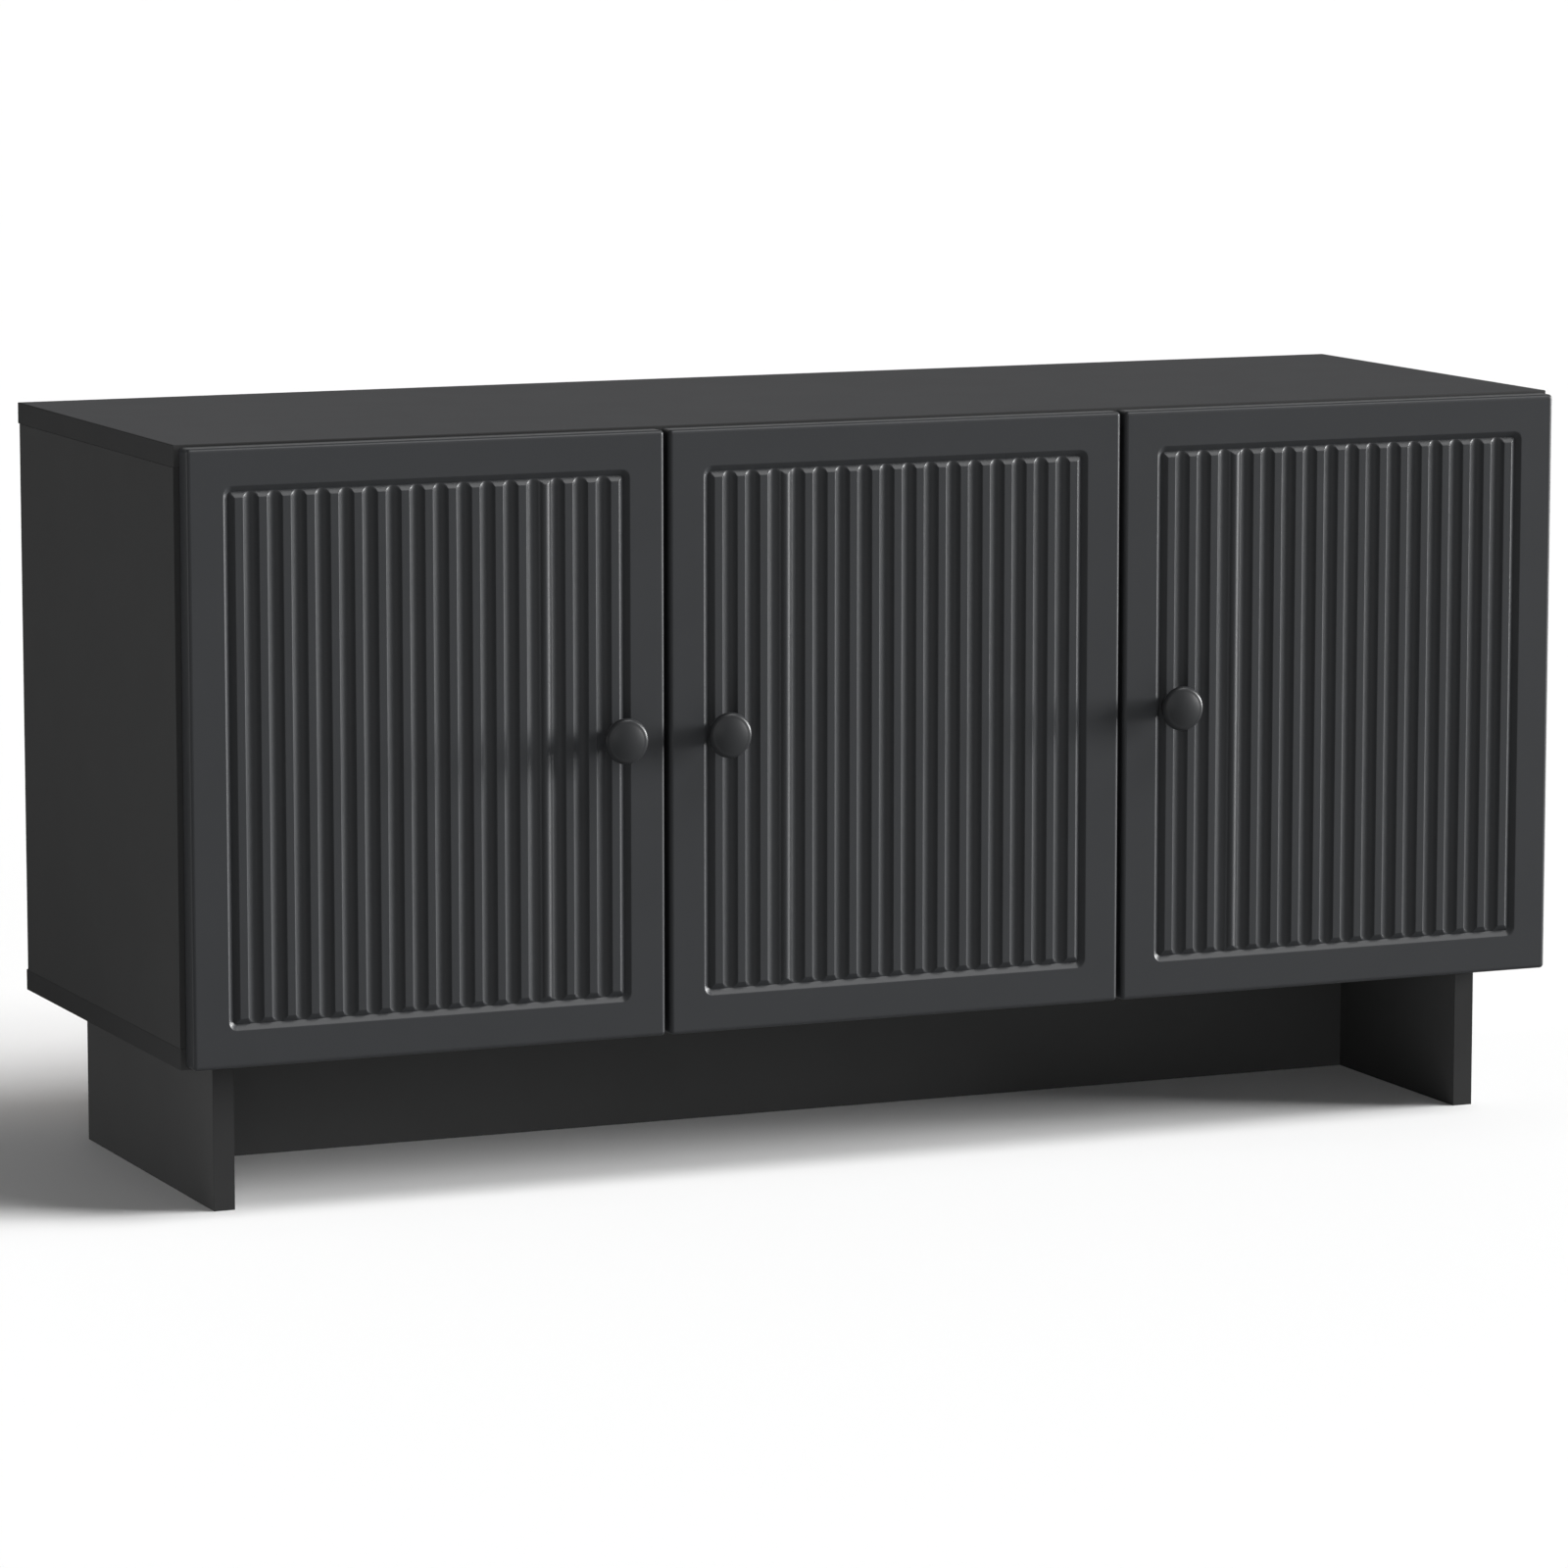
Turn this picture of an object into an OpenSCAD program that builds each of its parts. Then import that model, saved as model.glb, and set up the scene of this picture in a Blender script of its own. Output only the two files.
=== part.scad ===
// Low three-door sideboard on a recessed plinth, with fluted doors, round knobs and concealed hinges.
// Millimetres. +X runs along the length, +Z up, and the doors face -Y.
// The origin is the centre of the footprint, on the floor.

/* [Carcass] */
// Overall length, over the side panels
body_w = 1040; // [880:5:1300]
// Depth of the top and bottom boards
body_d = 345; // [290:5:450]
// Height of the carcass, from the underside of the bottom board to the top
body_h = 421.5; // [350:0.5:600]
// Thickness of the carcass and plinth boards
board_t = 15; // [14:0.5:19]
// Distance from the rear edge of the top board to the rear edges of the uprights
back_rebate = 3.8; // [3.5:0.1:8]
// Thickness of the hardboard back
back_t = 3; // [2.5:0.1:3.4]

/* [Plinth] */
// Height of the plinth
plinth_h = 105.5; // [85:0.5:160]
// Distance from the carcass's edges to the plinth, on all four sides
plinth_inset = 34; // [20:1:60]
// Distance from the plinth's front edge to the cross rail's front face
rail_setback = 177; // [100:1:190]

/* [Doors] */
// Thickness of a door
door_t = 15; // [14.5:0.5:19]
// Gap between two doors, and from the outer doors to the ends of the carcass
door_reveal = 3.5; // [2.5:0.1:5]
// Gap between the back of a door and the carcass
door_gap = 2; // [1.5:0.1:3]
// How far the doors stop short of the top of the carcass
door_top_drop = 1.5; // [0:0.1:4]
// How far the doors stop short of the underside of the carcass
door_bottom_lift = 2; // [0:0.1:6]
// How far a door opens, in degrees
door_open = 95; // [80:1:95]

/* [Door face] */
// Width of the plain frame round the fluted field
frame_w = 25.5; // [20:0.5:34]
// Width of the mitred V-groove round the fluted field
vee_w = 8; // [4:0.5:8]
// Width of the flat land between two flutes
land_w = 6; // [4:0.5:9]
// Nearest width of one flute, which is then spread evenly over the field
flute_w = 10.85; // [8:0.05:16]
// Depth of a flute
flute_depth = 3; // [2:0.25:4]
// Radius on the front edges and corners of a door
door_round = 2.5; // [1:0.5:4]
// Which land, counted from the knob side, has a rounded crest
crest_land = 4; // [2:1:8]

/* [Knobs] */
// Diameter of a knob
knob_d = 31.5; // [24:0.5:36]
// How far a knob stands out from the door's face
knob_h = 24.5; // [18:0.5:32]
// Diameter of a knob's neck
knob_neck_d = 14; // [10:0.5:18]
// Thickness of a knob's disc at its rim
knob_rim = 6.5; // [4:0.5:8]
// How far the knob's face is domed
knob_dome = 2; // [1:0.25:4]

/* [Shelves] */
// Thickness of the loose shelves
shelf_t = 15; // [12:0.5:19]
// Distance from the front of the carcass to a shelf
shelf_setback = 24; // [10:1:50]
// Gap at each end of a shelf
shelf_gap = 1; // [0.5:0.25:2]
// Diameter of a shelf pin
pin_d = 5; // [4:0.5:6]
// How far a shelf pin stands out
pin_out = 9; // [7:0.5:14]
// Spacing of the shelf pin holes
pin_pitch = 32; // [25:1:40]

/* [Hinges] */
// Distance from the ends of a door to its hinges
hinge_inset = 90; // [70:1:120]
// Diameter of the hinge cup
cup_d = 35; // [35:0.5:36]
// Distance from the door's edge to the cup
cup_edge = 4; // [4:0.25:5]
// Depth of the hinge cup
cup_depth = 9.3; // [8.8:0.1:9.5]

/* [Hidden] */
$fn = 64;
far = 50;
fit = 0.05;
anthracite = "#3c3f42";
nickel = "#b9b9b6";
knob_black = "#36393b";
hardboard = "#8a6a48";
beech = "#d9b98a";
pad_grey = "#d8d8d4";

// Carcass box
y_back = (body_d + door_gap + door_t + knob_h) / 2;
y_front = y_back - body_d;
y_upright_back = y_back - back_rebate;
x_end = body_w / 2;
z_under = plinth_h;
z_floor = plinth_h + board_t;
z_ceiling = plinth_h + body_h - board_t;
z_top = plinth_h + body_h;

// Doors
door_w = (body_w - 4 * door_reveal) / 3;
door_z0 = z_under + door_bottom_lift;
door_h = body_h - door_bottom_lift - door_top_drop;
door_y = y_front - door_gap;
door_pitch = door_w + door_reveal;
field_w = door_w - 2 * (frame_w + vee_w);
flute_count = max(2, round((field_w - land_w) / (land_w + flute_w)));
flute_even = (field_w - (flute_count + 1) * land_w) / flute_count;
flute_pitch = land_w + flute_even;
flute_r = (pow(flute_even / 2, 2) + pow(flute_depth, 2)) / (2 * flute_depth);
vee_depth = min(flute_depth, vee_w / 2);
knob_in = frame_w + vee_w + land_w / 2;
crest_r = land_w / 2 + 0.2;
crest_cut = 1.8;

// Hinge edges of the three doors: the left door hangs at its left edge, the others at their right
x_left_hinge = -x_end + door_reveal;
x_middle_hinge = -x_end + 2 * door_pitch;
x_right_hinge = x_end - door_reveal;
x_divider = x_middle_hinge + door_reveal / 2;
wide_x = [-x_end + board_t, x_divider - board_t / 2];
narrow_x = [x_divider + board_t / 2, x_end - board_t];
HINGE_Z = [door_z0 + hinge_inset, door_z0 + door_h - hinge_inset];

// Shelves and their pins
pin_in = 6;
pin_from_edge = 37;
shelf_y = [y_front + shelf_setback, y_upright_back - 2];
PIN_Y = [shelf_y[0] + pin_from_edge, shelf_y[1] - pin_from_edge];
shelf_z = (z_floor + z_ceiling) / 2 - shelf_t / 2;
pin_z = shelf_z - pin_d / 2 - fit;

// Knobs
knob_flat = knob_d / 2 - knob_rim / 2;
dome_r = (pow(knob_flat, 2) + pow(knob_dome, 2)) / (2 * knob_dome);
knob_flare = 2;

// Hinge geometry, seen from above: X = 0 is the door's edge, Y = 0 its back face, and the door lies at -X
cup_x = -cup_edge - cup_d / 2;
cup_wall = 0.8;
cup_floor = 0.6;
cup_clear = 0.05;
flange_t = 1;
flange_x = cup_x - 9.5;
flange_z = 22.5;
flange_r = 6;
flange_hole_r = 1.8;
cup_collar = 1.5;
cup_pin = [-7.2, -7.3];
cup_pin_half = 7.8;
link_pin = [-14.8, -4.2];
link_reach = 20.5;
link_angle = 172;
link_bow = 9;
link_end = polar(link_pin, link_reach, link_angle);
bow_r = pow(link_reach, 2) / (8 * link_bow) + link_bow / 2;
bow_centre = polar((link_pin + link_end) / 2, link_bow - bow_r, link_angle - 90);
bow_half = acos((bow_r - link_bow) / bow_r);
link_t = 1.2;
link_half = 5.3;
link_eye = 1.65;
pin_r = 0.9;
pin_clear = 0.1;
ear_in = 6.2;
ear_out = 7.4;
nose_r = 1.4;
arm_face = -26.5;
arm_t = 1.2;
arm_y = [9, 66];
ear_rise = 4;
ear_lead = [-4.5, 3];
plate_t = 2;
plate_y = [24, 62];
plate_half = 9;
plate_screw_y = 37 + door_gap;
plate_screw_z = 16;
plate_screw_r = 1.75;
plate_pilot = 12.5;
wing_r = 6;
block_half = 6;
block_in = 3;
arm_screw_y = 50;
arm_screw_r = 2.5;
arm_screw_neck = 3;
arm_screw_len = 8.5;
full_cover = board_t - door_reveal;
half_cover = (board_t - door_reveal) / 2;

// Fasteners
cam_r = 7.5;
cam_h = 12;
cam_at = 24;
cam_hollow = 4;
slot_w = 1.2;
slot_deep = 1.6;
bolt_in = 11;
bolt_r = 2.5;
bolt_neck = 2;
bolt_bore = 3.6;
spare = 1.5;
dowel_r = 4;
dowel_in = 10;
dowel_len = 30;
dowel_chamfer = 0.8;
joint_in = 55;
cup_screw_r = 1.5;
cup_screw_len = 10;
knob_screw_r = 2;
knob_screw_in = 12;
screw_head_r = 3.8;
screw_head_t = 1.8;
nail_r = 0.8;
nail_len = 20;
nail_head_over = 0.9;
nail_head_t = 0.6;
nail_from_end = 20;
nails_up = 4;
back_gap = 0.5;
bumper_r = 4;
bumper_t = door_gap - 0.3;
bumper_in = 17;

// One joint: place and turn. +Z points into the board that takes the bolt, +Y to the face with the cam.
JOINT_Y = [y_front + joint_in, y_upright_back - joint_in];
UPRIGHTS = [[-x_end + board_t / 2, -90], [x_divider, -90], [x_end - board_t / 2, 90]];
PLINTH_Y = [y_front + plinth_inset, y_back - plinth_inset];
PLINTH_X = x_end - plinth_inset - board_t / 2;
rail_y = PLINTH_Y[0] + rail_setback + board_t / 2;
rail_x = PLINTH_X - board_t / 2;
TOP_JOINTS = [for (u = UPRIGHTS) for (y = JOINT_Y) [[u[0], y, z_ceiling], [0, 0, u[1]]]];
FLOOR_JOINTS = [for (u = UPRIGHTS) for (y = JOINT_Y) [[u[0], y, z_floor], [180, 0, -u[1]]]];
PLINTH_JOINTS = [for (s = [-1, 1]) [[s * PLINTH_X, PLINTH_Y[1] - joint_in, plinth_h], [0, 0, s * 90]]];
RAIL_TOP_JOINTS = [for (s = [-1, 1]) [[s * rail_x * 0.5, rail_y, plinth_h], [0, 0, 0]]];
RAIL_END_JOINTS = [for (s = [-1, 1]) [[s * rail_x, rail_y, plinth_h / 2], [0, s * 90, 0]]];
TOP_DOWELS = [for (u = UPRIGHTS) [[u[0], (JOINT_Y[0] + JOINT_Y[1]) / 2, z_ceiling], [0, 0, 0]]];
FLOOR_DOWELS = [for (u = UPRIGHTS) [[u[0], (JOINT_Y[0] + JOINT_Y[1]) / 2, z_floor], [180, 0, 0]]];
PLINTH_DOWELS = [for (s = [-1, 1]) [[s * PLINTH_X, PLINTH_Y[0] + joint_in, plinth_h], [0, 0, 0]]];
ALL_JOINTS = concat(TOP_JOINTS, FLOOR_JOINTS, PLINTH_JOINTS, RAIL_TOP_JOINTS, RAIL_END_JOINTS);

// Nails of the back
nail_span = z_ceiling - z_floor - 2 * nail_from_end;
NAIL_Z = [for (k = [0:nails_up]) z_floor + nail_from_end + k * nail_span / nails_up];
NAIL_X = [-x_end + board_t / 2, x_divider - board_t / 4, x_divider + board_t / 4, x_end - board_t / 2];

function polar(c, r, a) = [c[0] + r * cos(a), c[1] + r * sin(a)];

// ---- Shared shapes ----

// A board between two corners
module board(low, high) {
    translate(low)
        cube(high - low);
}

module at_joints(joints) {
    for (j = joints)
        translate(j[0])
            rotate(j[1])
                children();
}

// Pocket for the cam and bores for its bolt
module cam_bores(joints) {
    at_joints(joints) {
        translate([0, board_t / 2 + far, -cam_at])
            rotate([90, 0, 0])
                cylinder(r = cam_r + fit, h = cam_h + far);
        translate([0, 0, -cam_at])
            cylinder(r = bolt_bore, h = cam_at);
        translate([0, 0, -1])
            cylinder(r = bolt_r + fit, h = bolt_in + spare);
    }
}

module dowel_bores(places) {
    at_joints(places)
        translate([0, 0, dowel_in - dowel_len - 1])
            cylinder(r = dowel_r + fit, h = dowel_len + spare);
}

// Rows of holes for shelf pins on one face of an upright: side is the direction the face looks
module pin_holes(x_face, side) {
    for (y = PIN_Y)
        for (k = [-2:2])
            translate([x_face - side * (pin_in + 0.5), y, pin_z + k * pin_pitch])
                rotate([0, side * 90, 0])
                    cylinder(d = pin_d + 2 * fit, h = pin_in + 1);
}

// Pilot bores for the hinge plate screws of one door
module plate_bores(x, turned, cover) {
    at_hinges(x, turned)
        for (s = [-1, 1])
            translate([-cover - 1, plate_screw_y, s * plate_screw_z])
                rotate([0, 90, 0])
                    cylinder(r = plate_screw_r + fit, h = plate_pilot + 1);
}

// The two hinges of one door: turned is true for the door that hangs at its left edge
module at_hinges(x, turned) {
    for (z = HINGE_Z)
        translate([x, door_y, z])
            mirror([turned ? 1 : 0, 0, 0])
                children();
}

// One door: turned is true for the door that hangs at its left edge
module at_door(x, turned) {
    translate([x, door_y, door_z0])
        mirror([turned ? 1 : 0, 0, 0])
            children();
}

// ---- Carcass ----

module top_panel() {
    color(anthracite)
        difference() {
            board([-x_end, y_front, z_ceiling], [x_end, y_back, z_top]);
            cam_bores(TOP_JOINTS);
            dowel_bores(TOP_DOWELS);
        }
}

module bottom_panel() {
    color(anthracite)
        difference() {
            board([-x_end, y_front, z_under], [x_end, y_back, z_floor]);
            cam_bores(FLOOR_JOINTS);
            dowel_bores(FLOOR_DOWELS);
            dowel_bores(PLINTH_DOWELS);
            cam_bores(PLINTH_JOINTS);
            cam_bores(RAIL_TOP_JOINTS);
        }
}

module upright(x) {
    difference() {
        board([x - board_t / 2, y_front, z_floor], [x + board_t / 2, y_upright_back, z_ceiling]);
        cam_bores(TOP_JOINTS);
        cam_bores(FLOOR_JOINTS);
        dowel_bores(TOP_DOWELS);
        dowel_bores(FLOOR_DOWELS);
        nail_bores();
    }
}

module left_side() {
    color(anthracite)
        difference() {
            upright(UPRIGHTS[0][0]);
            pin_holes(wide_x[0], 1);
            plate_bores(x_left_hinge, true, full_cover);
        }
}

module divider() {
    color(anthracite)
        difference() {
            upright(x_divider);
            pin_holes(wide_x[1], -1);
            pin_holes(narrow_x[0], 1);
            plate_bores(x_middle_hinge, false, half_cover);
        }
}

module right_side() {
    color(anthracite)
        difference() {
            upright(UPRIGHTS[2][0]);
            pin_holes(narrow_x[1], -1);
            plate_bores(x_right_hinge, false, full_cover);
        }
}

module shelf(span) {
    color(anthracite)
        board(
            [span[0] + shelf_gap, shelf_y[0], shelf_z],
            [span[1] - shelf_gap, shelf_y[1], shelf_z + shelf_t]
        );
}

module wide_shelf() {
    shelf(wide_x);
}

module narrow_shelf() {
    shelf(narrow_x);
}

// Four plain pegs under each shelf
module shelf_pins() {
    color(nickel)
        for (f = [[wide_x[0], 1], [wide_x[1], -1], [narrow_x[0], 1], [narrow_x[1], -1]])
            for (y = PIN_Y)
                translate([f[0], y, pin_z])
                    rotate([0, f[1] * 90, 0])
                        translate([0, 0, -pin_in])
                            cylinder(d = pin_d, h = pin_in + pin_out);
}

// ---- Back ----

module nail_bores() {
    for (x = NAIL_X)
        for (z = NAIL_Z)
            translate([x, y_upright_back + far, z])
                rotate([90, 0, 0])
                    cylinder(r = nail_r + fit, h = nail_len + far, $fn = 24);
}

module back_sheet(x0, x1) {
    color(hardboard)
        difference() {
            board(
                [x0, y_upright_back, z_floor + back_gap],
                [x1, y_upright_back + back_t, z_ceiling - back_gap]
            );
            nail_bores();
        }
}

module wide_back() {
    back_sheet(-x_end + 2 * back_gap, x_divider - back_gap / 2);
}

module narrow_back() {
    back_sheet(x_divider + back_gap / 2, x_end - 2 * back_gap);
}

module back_nails() {
    color(nickel)
        for (x = NAIL_X)
            for (z = NAIL_Z)
                translate([x, y_upright_back + back_t, z])
                    rotate([90, 0, 0]) {
                        cylinder(r = nail_r, h = nail_len, $fn = 24);
                        translate([0, 0, -nail_head_t])
                            cylinder(r = nail_r + nail_head_over, h = nail_head_t, $fn = 24);
                    }
}

// ---- Plinth ----

module plinth_side(s) {
    color(anthracite)
        difference() {
            board(
                [s * PLINTH_X - board_t / 2, PLINTH_Y[0], 0],
                [s * PLINTH_X + board_t / 2, PLINTH_Y[1], plinth_h]
            );
            cam_bores(PLINTH_JOINTS);
            cam_bores(RAIL_END_JOINTS);
            dowel_bores(PLINTH_DOWELS);
        }
}

module plinth_left() {
    plinth_side(-1);
}

module plinth_right() {
    plinth_side(1);
}

module plinth_rail() {
    color(anthracite)
        difference() {
            board([-rail_x, rail_y - board_t / 2, 0], [rail_x, rail_y + board_t / 2, plinth_h]);
            cam_bores(RAIL_TOP_JOINTS);
            cam_bores(RAIL_END_JOINTS);
        }
}

// ---- Knock-down fittings ----

// Round cam with a cross slot in its face and a hollow for the bolt's head
module cam_locks() {
    color(nickel)
        at_joints(ALL_JOINTS)
            difference() {
                translate([0, board_t / 2, -cam_at])
                    rotate([90, 0, 0])
                        cylinder(r = cam_r, h = cam_h);
                translate([0, 0, -cam_at - cam_hollow])
                    cylinder(r = bolt_bore, h = cam_r + cam_hollow + 1);
                for (a = [0, 90])
                    translate([0, board_t / 2 - slot_deep, -cam_at])
                        rotate([0, a, 0])
                            translate([-cam_hollow, 0, -slot_w / 2])
                                cube([2 * cam_hollow, 2, slot_w]);
            }
}

module cam_bolts() {
    color(nickel)
        at_joints(ALL_JOINTS)
            rotate_extrude()
                polygon([
                    [0, bolt_in], [bolt_r, bolt_in - 1], [bolt_r, 0],
                    [bolt_r + 1, 0], [bolt_r + 1, -2], [bolt_neck, -2], [bolt_neck, -cam_at + 2],
                    [bolt_neck + 1.2, -cam_at + 1], [bolt_neck + 1.2, -cam_at - 1.5],
                    [bolt_neck, -cam_at - 2.5], [0, -cam_at - 2.5]
                ]);
}

module dowels() {
    color(beech)
        at_joints(concat(TOP_DOWELS, FLOOR_DOWELS, PLINTH_DOWELS))
            translate([0, 0, dowel_in - dowel_len])
                rotate_extrude()
                    polygon([
                        [0, 0], [dowel_r - dowel_chamfer, 0], [dowel_r, dowel_chamfer],
                        [dowel_r, dowel_len - dowel_chamfer], [dowel_r - dowel_chamfer, dowel_len],
                        [0, dowel_len]
                    ]);
}

// ---- Doors ----

// What is cut from a square edge along Z to round it: the edge is at the origin, the solid at -X and +Y
module edge_cut(length, r) {
    translate([0, 0, -1])
        linear_extrude(length + 2)
            difference() {
                translate([-r, -1])
                    square([r + 1, r + 1]);
                translate([-r, r])
                    circle(r);
            }
}

// The V-groove's profile, swept along a straight of the given length on Z
module vee_cut(length) {
    linear_extrude(length)
        polygon([[0, -0.01], [vee_w, -0.01], [vee_w / 2, vee_depth]]);
}

// Fluted door, hanging at its right edge: X = 0 is that edge, Y = 0 the back face, Z = 0 the lower end
module door_leaf() {
    face = -door_t;
    x0 = -door_w + frame_w;
    x1 = -frame_w;
    z0 = frame_w;
    z1 = door_h - frame_w;
    first_land = -door_w + knob_in;
    difference() {
        translate([-door_w, face, 0])
            cube([door_w, door_t, door_h]);
        // front edges
        translate([0, face, 0])
            edge_cut(door_h, door_round);
        translate([-door_w, face, 0])
            mirror([1, 0, 0])
                edge_cut(door_h, door_round);
        translate([0, face, door_h])
            rotate([0, -90, 0])
                edge_cut(door_w, door_round);
        translate([0, face, 0])
            mirror([0, 0, 1])
                rotate([0, -90, 0])
                    edge_cut(door_w, door_round);
        // V-groove round the field: two uprights and two levels, mitred where they meet
        translate([x0, face, z0])
            vee_cut(z1 - z0);
        translate([x1 - vee_w, face, z0])
            vee_cut(z1 - z0);
        for (z = [z0 + vee_w, z1])
            translate([x0, face, z])
                rotate([0, 90, 0])
                    vee_cut(x1 - x0);
        // flutes
        for (k = [0:flute_count - 1])
            translate([first_land + land_w / 2 + flute_even / 2 + k * flute_pitch, face, z0 + vee_w / 2])
                translate([0, flute_depth - flute_r, 0])
                    cylinder(r = flute_r, h = z1 - z0 - vee_w);
        // rounded crest on one land
        for (s = [0, 1])
            translate([first_land + (crest_land - 1) * flute_pitch, face, z0 + vee_w])
                mirror([s, 0, 0])
                    linear_extrude(z1 - z0 - 2 * vee_w)
                        difference() {
                            translate([0, -1])
                                square([crest_r + 0.1, crest_cut + 1]);
                            translate([0, crest_r])
                                circle(crest_r);
                        }
        // hinge cups and their screws
        for (z = HINGE_Z)
            translate([0, 0, z - door_z0]) {
                translate([cup_x, 1, 0])
                    rotate([90, 0, 0])
                        cylinder(r = cup_d / 2 + cup_clear, h = cup_depth + cup_clear + 1);
                for (s = [-1, 1])
                    translate([flange_x, 1, s * flange_z])
                        rotate([90, 0, 0])
                            cylinder(r = cup_screw_r + fit, h = cup_screw_len + 0.2);
            }
        // knob screw
        translate([-door_w + knob_in, 1, door_h / 2])
            rotate([90, 0, 0])
                cylinder(r = knob_screw_r + fit, h = door_t + 2);
    }
}

module left_door() {
    color(anthracite)
        at_door(x_left_hinge, true)
            door_leaf();
}

module middle_door() {
    color(anthracite)
        at_door(x_middle_hinge, false)
            door_leaf();
}

module right_door() {
    color(anthracite)
        at_door(x_right_hinge, false)
            door_leaf();
}

// ---- Knobs ----

// Half section of a knob along its axis, from the door's face outwards
module knob_section() {
    r = knob_d / 2;
    neck = knob_neck_d / 2;
    rim = knob_rim / 2;
    waist = knob_h - knob_rim - knob_dome;
    difference() {
        union() {
            square([neck, waist + 1]);
            translate([0, waist])
                square([r - rim, knob_rim]);
            translate([r - rim, waist + rim])
                circle(rim);
            intersection() {
                translate([0, waist])
                    square([r - rim, knob_rim + knob_dome]);
                translate([0, knob_h - dome_r])
                    circle(dome_r, $fn = 180);
            }
            translate([neck, waist - knob_flare])
                difference() {
                    square([knob_flare, knob_flare]);
                    translate([knob_flare, 0])
                        circle(knob_flare);
                }
        }
        translate([-far, -far])
            square([far, 2 * far + knob_h]);
        translate([-1, -1])
            square([1 + knob_screw_r + fit, knob_screw_in + spare]);
    }
}

module at_knob(x, turned) {
    at_door(x, turned)
        translate([-door_w + knob_in, -door_t, door_h / 2])
            rotate([90, 0, 0])
                children();
}

module knob(x, turned) {
    color(knob_black)
        at_knob(x, turned)
            rotate_extrude()
                knob_section();
}

module left_knob() {
    knob(x_left_hinge, true);
}

module middle_knob() {
    knob(x_middle_hinge, false);
}

module right_knob() {
    knob(x_right_hinge, false);
}

// Machine screw through the door, with a low round head inside
module knob_screw(x, turned) {
    color(nickel)
        at_knob(x, turned)
            difference() {
                union() {
                    translate([0, 0, -door_t])
                        cylinder(r = knob_screw_r, h = door_t + knob_screw_in);
                    translate([0, 0, -door_t - screw_head_t])
                        cylinder(r = screw_head_r, h = screw_head_t);
                }
                for (a = [0, 90])
                    rotate(a)
                        translate([-2.5, -0.5, -door_t - 2])
                            cube([5, 1, 1]);
            }
}

module left_knob_screw() {
    knob_screw(x_left_hinge, true);
}

module middle_knob_screw() {
    knob_screw(x_middle_hinge, false);
}

module right_knob_screw() {
    knob_screw(x_right_hinge, false);
}

// Two soft round pads at the free corners of a door
module bumpers(x, turned) {
    color(pad_grey)
        at_door(x, turned)
            for (z = [board_t / 2 - door_bottom_lift, door_h + door_top_drop - board_t / 2])
                translate([-door_w + bumper_in, 0, z])
                    rotate([-90, 0, 0])
                        cylinder(r = bumper_r, h = bumper_t);
}

module left_bumpers() {
    bumpers(x_left_hinge, true);
}

module middle_bumpers() {
    bumpers(x_middle_hinge, false);
}

module right_bumpers() {
    bumpers(x_right_hinge, false);
}

// ---- Hinges ----

// Pressed cup with a flange for two screws and a cross pin near its outer wall
module hinge_cup() {
    difference() {
        union() {
            translate([cup_x, 0, 0])
                rotate([90, 0, 0])
                    cylinder(r = cup_d / 2, h = cup_depth);
            rotate([-90, 0, 0])
                linear_extrude(flange_t) {
                    translate([flange_x - flange_r, -flange_z])
                        square([2 * flange_r, 2 * flange_z]);
                    for (s = [-1, 1])
                        translate([flange_x, s * flange_z])
                            circle(flange_r);
                    intersection() {
                        translate([cup_x, 0])
                            circle(cup_d / 2 + cup_collar);
                        translate([cup_x - cup_d, -cup_d])
                            square([cup_d, 2 * cup_d]);
                    }
                }
        }
        translate([cup_x, 2, 0])
            rotate([90, 0, 0])
                cylinder(r = cup_d / 2 - cup_wall, h = cup_depth - cup_floor + 2);
        for (s = [-1, 1])
            translate([flange_x, 2, s * flange_z])
                rotate([90, 0, 0])
                    cylinder(r = flange_hole_r, h = 4);
    }
    translate([cup_pin[0], cup_pin[1], -cup_pin_half])
        cylinder(r = pin_r, h = 2 * cup_pin_half, $fn = 32);
}

module hinge_cups(x, turned) {
    color(nickel)
        at_hinges(x, turned)
            hinge_cup();
}

module left_hinge_cups() {
    hinge_cups(x_left_hinge, true);
}

module middle_hinge_cups() {
    hinge_cups(x_middle_hinge, false);
}

module right_hinge_cups() {
    hinge_cups(x_right_hinge, false);
}

// Wood screws of the cup flanges: a low head on the flange and a shank in the door
module cup_screws(x, turned) {
    color(nickel)
        at_hinges(x, turned)
            for (s = [-1, 1])
                translate([flange_x, flange_t, s * flange_z])
                    rotate([90, 0, 0])
                        rotate_extrude()
                            polygon([
                                [0, -0.7], [2.6, -0.7], [3.2, 0],
                                [cup_screw_r, 0], [cup_screw_r, cup_screw_len - 2], [0, cup_screw_len]
                            ]);
}

module left_cup_screws() {
    cup_screws(x_left_hinge, true);
}

module middle_cup_screws() {
    cup_screws(x_middle_hinge, false);
}

module right_cup_screws() {
    cup_screws(x_right_hinge, false);
}

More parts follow.
